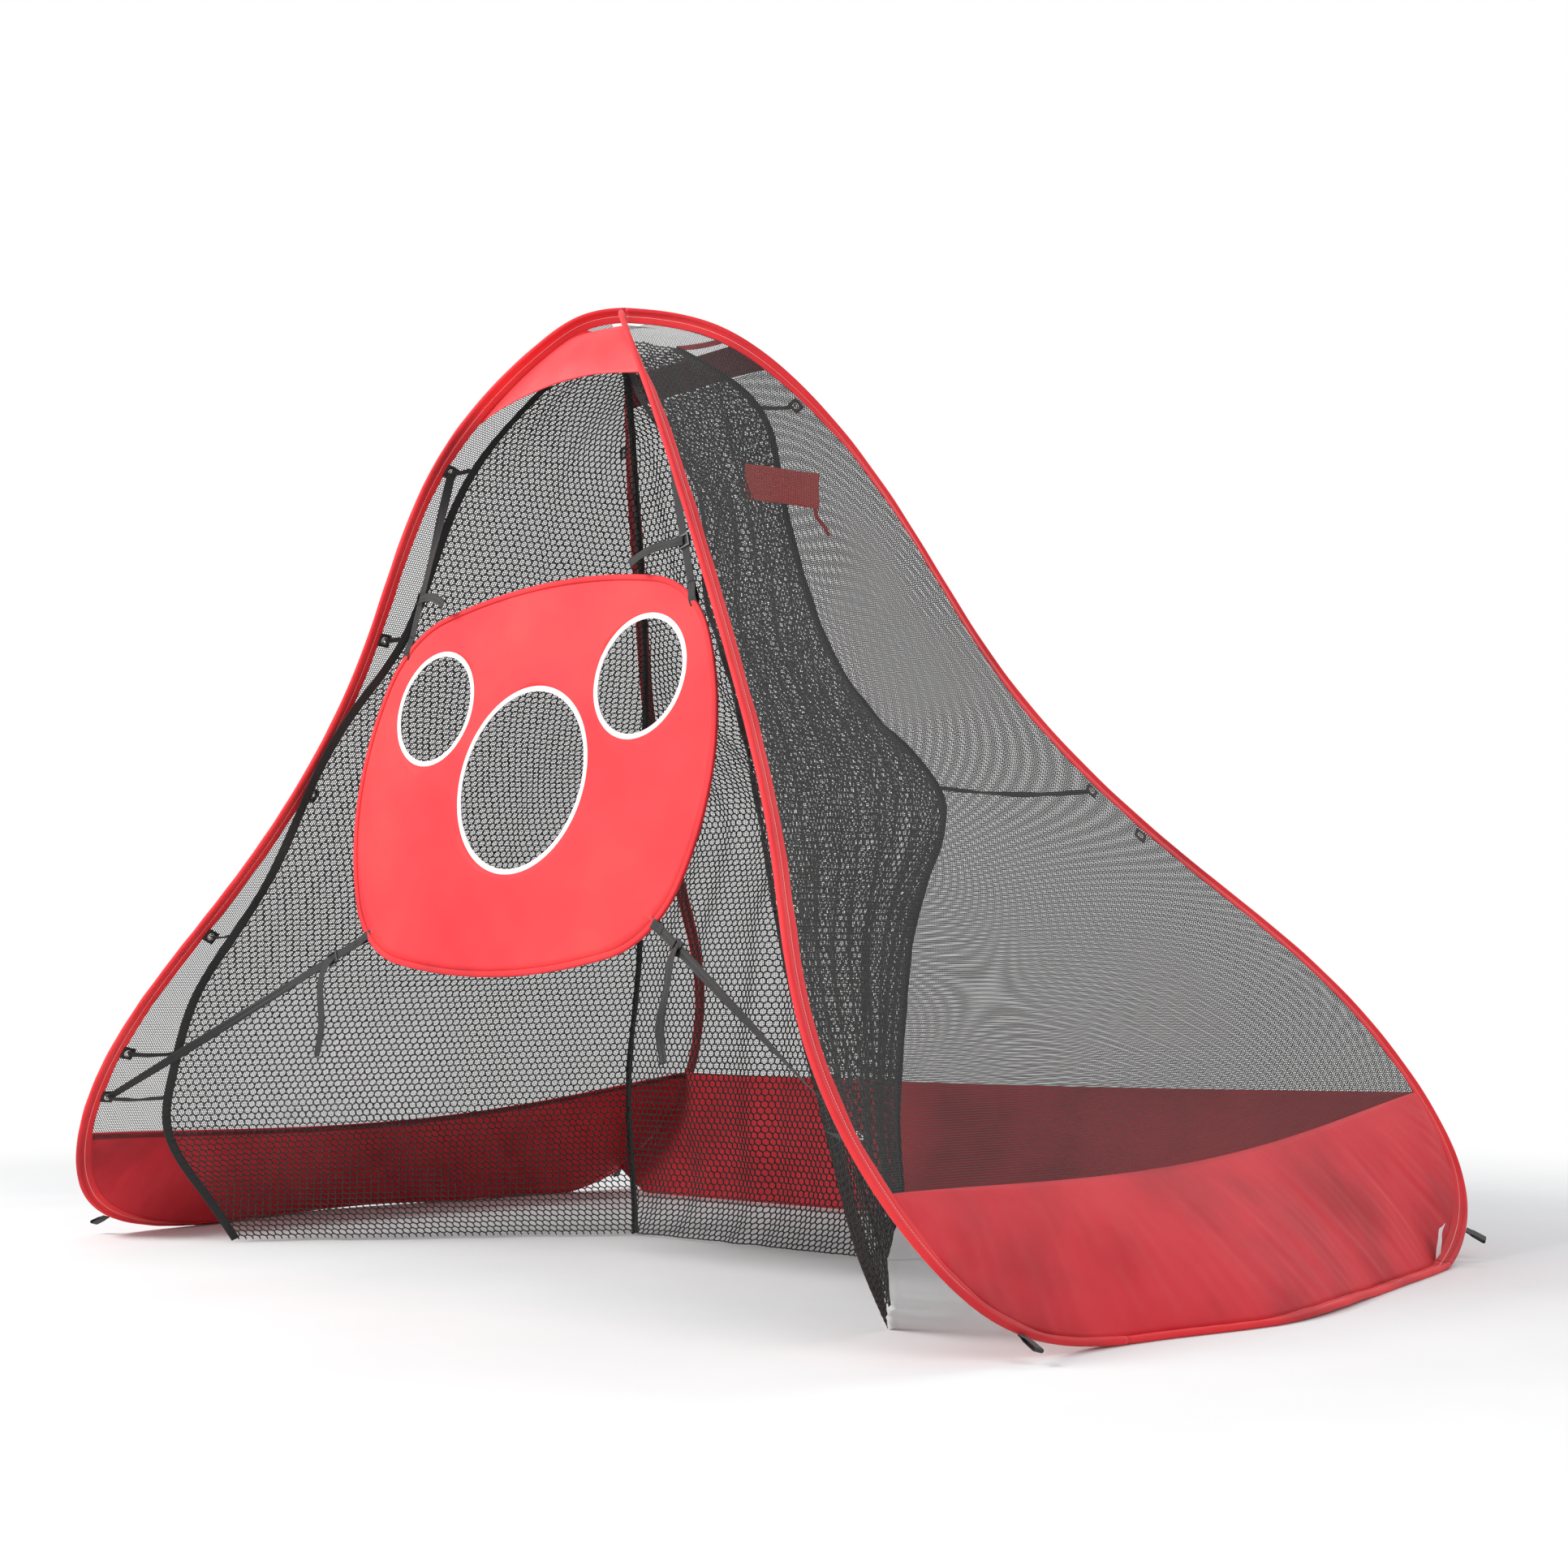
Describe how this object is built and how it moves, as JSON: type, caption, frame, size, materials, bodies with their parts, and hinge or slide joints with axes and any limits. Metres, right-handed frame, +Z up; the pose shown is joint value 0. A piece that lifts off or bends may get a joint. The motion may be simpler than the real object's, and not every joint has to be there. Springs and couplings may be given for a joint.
{
  "type": "golf chipping net",
  "caption": "Pop-up chipping net: crossed sprung hoops in cloth sleeves, mesh walls, an inner netting bag and a hanging target with holes.",
  "frame": {"origin": "on the ground, under the middle of the net's outline", "axes": "+Z up; -Y is the open front where the player stands; +X is the player's right, and x = 0 is the plane of symmetry"},
  "size_m": [2.94, 2.0423, 2.1186],
  "materials": {
    "black_binding_tape": "folded woven tape",
    "black_webbing": "woven polypropylene webbing",
    "coarse_black_netting": "knotless netting with six-sided cells",
    "dark_red_cap_cloth": "mesh over red cloth",
    "ferrule_steel": "plain drawn tube",
    "fibreglass_rod": "pultruded, matt",
    "fine_black_mesh": "fine knitted mesh, see-through",
    "nickel_grommet": "nickel-plated",
    "red_label_cloth": "folded satin cloth",
    "red_ribbon": "satin ribbon",
    "red_rim_sleeve": "stitched cloth channel",
    "red_ripstop": "thin coated ripstop",
    "red_sleeve_cloth": "woven polyester sleeve",
    "red_strip_cloth": "woven polyester",
    "red_target_cloth": "woven polyester",
    "slider_plastic": "moulded acetal, slightly glossy",
    "sprung_rim_wire": "flat spring steel",
    "white_binding": "folded woven binding",
    "white_label_cloth": "satin label tape"
  },
  "bodies": {
    "frame": {"floor_strip_back": "red_strip_cloth", "floor_strip_left": "red_strip_cloth", "floor_strip_right": "red_strip_cloth", "grommet_tabs_back": "black_webbing", "grommet_tabs_front": "black_webbing", "grommets_back": "nickel_grommet", "grommets_front": "nickel_grommet", "mesh_wall_back": "fine_black_mesh", "mesh_wall_left": "fine_black_mesh", "mesh_wall_right": "fine_black_mesh", "net_back": "coarse_black_netting", "net_border_tape_left": "black_binding_tape", "net_border_tape_right": "black_binding_tape", "net_left": "coarse_black_netting", "net_right": "coarse_black_netting", "net_seam_tape_left": "black_binding_tape", "net_seam_tape_right": "black_binding_tape", "net_ties_back": "black_webbing", "net_ties_front": "black_webbing", "net_top_ties": "red_ribbon", "rod_ferrules": "ferrule_steel", "rod_lower_arch": "fibreglass_rod", "rod_upper_arch": "fibreglass_rod", "sleeve_back_left": "red_sleeve_cloth", "sleeve_back_right": "red_sleeve_cloth", "sleeve_floor_left": "red_sleeve_cloth", "sleeve_floor_right": "red_sleeve_cloth", "sleeve_front_left": "red_sleeve_cloth", "sleeve_front_right": "red_sleeve_cloth", "target_strap_lower_left": "black_webbing", "target_strap_lower_right": "black_webbing", "top_cap_back": "dark_red_cap_cloth", "top_flap_front": "red_ripstop"},
    "target": {"target_panel": "red_target_cloth", "target_hole_bindings": "white_binding", "target_rim_sleeve": "red_rim_sleeve", "target_rim_wire": "sprung_rim_wire", "target_tabs": "black_webbing", "target_strap_upper_left": "black_webbing", "target_strap_upper_right": "black_webbing"},
    "upper_right_slider": {"strap_slider_upper_right": "slider_plastic", "strap_tail_upper_right": "black_webbing"},
    "lower_right_slider": {"strap_slider_lower_right": "slider_plastic", "strap_tail_lower_right": "black_webbing"},
    "upper_left_slider": {"strap_slider_upper_left": "slider_plastic", "strap_tail_upper_left": "black_webbing"},
    "lower_left_slider": {"strap_slider_lower_left": "slider_plastic", "strap_tail_lower_left": "black_webbing"},
    "stake_loop_front_right": {"stake_loop_front_right": "black_webbing"},
    "stake_loop_back_right": {"stake_loop_back_right": "black_webbing"},
    "stake_loop_front_left": {"stake_loop_front_left": "black_webbing"},
    "stake_loop_back_left": {"stake_loop_back_left": "black_webbing"},
    "care_label": {"care_label": "white_label_cloth"},
    "fold_label": {"fold_label": "red_label_cloth", "fold_label_ribbon": "red_ribbon"}
  },
  "joints": [
    {"name": "target_swing", "type": "hinge", "parent": "frame", "child": "target", "pos_m": [0, -0.63354, 1.75304], "axis": [1, 0, 0], "range_deg": [-6, 3.5], "deforming": ["target_strap_lower_left", "target_strap_lower_right"]},
    {"name": "upper_right_slider_slide", "type": "slide", "parent": "target", "child": "upper_right_slider", "axis": [-0.2718, 0.0611, 0.9604], "range_m": [-0.04, 0.05]},
    {"name": "lower_right_slider_slide", "type": "slide", "parent": "target", "child": "lower_right_slider", "axis": [0.8488, -0.2731, -0.4527], "range_m": [-0.04, 0.05]},
    {"name": "upper_left_slider_slide", "type": "slide", "parent": "target", "child": "upper_left_slider", "axis": [0.2688, 0.0573, 0.9615], "range_m": [-0.04, 0.05]},
    {"name": "lower_left_slider_slide", "type": "slide", "parent": "target", "child": "lower_left_slider", "axis": [-0.8488, -0.2729, -0.4528], "range_m": [-0.04, 0.05]},
    {"name": "stake_loop_front_right_fold", "type": "hinge", "parent": "frame", "child": "stake_loop_front_right", "pos_m": [1.34347, -0.83747, 0.04199], "axis": [-0.2176, -0.9084, 0.3569], "range_deg": [0, 60]},
    {"name": "stake_loop_back_right_fold", "type": "hinge", "parent": "frame", "child": "stake_loop_back_right", "pos_m": [1.33035, 0.86427, 0.06408], "axis": [0.2453, -0.8542, -0.4584], "range_deg": [0, 60]},
    {"name": "stake_loop_front_left_fold", "type": "hinge", "parent": "frame", "child": "stake_loop_front_left", "pos_m": [-1.34115, -0.84632, 0.04542], "axis": [-0.233, 0.8951, -0.3801], "range_deg": [0, 60]},
    {"name": "stake_loop_back_left_fold", "type": "hinge", "parent": "frame", "child": "stake_loop_back_left", "pos_m": [-1.33254, 0.85684, 0.06029], "axis": [0.2396, 0.8628, 0.4452], "range_deg": [0, 60]},
    {"name": "care_label_fold", "type": "hinge", "parent": "frame", "child": "care_label", "pos_m": [1.33838, 0.69507, 0.02307], "axis": [-0.1381, 0.961, 0.2395], "range_deg": [0, 60]},
    {"name": "fold_label_turn", "type": "hinge", "parent": "frame", "child": "fold_label", "pos_m": [0.2676, -0.31, 1.69], "axis": [0, 0, 1], "range_deg": [-8, 0]}
  ]
}
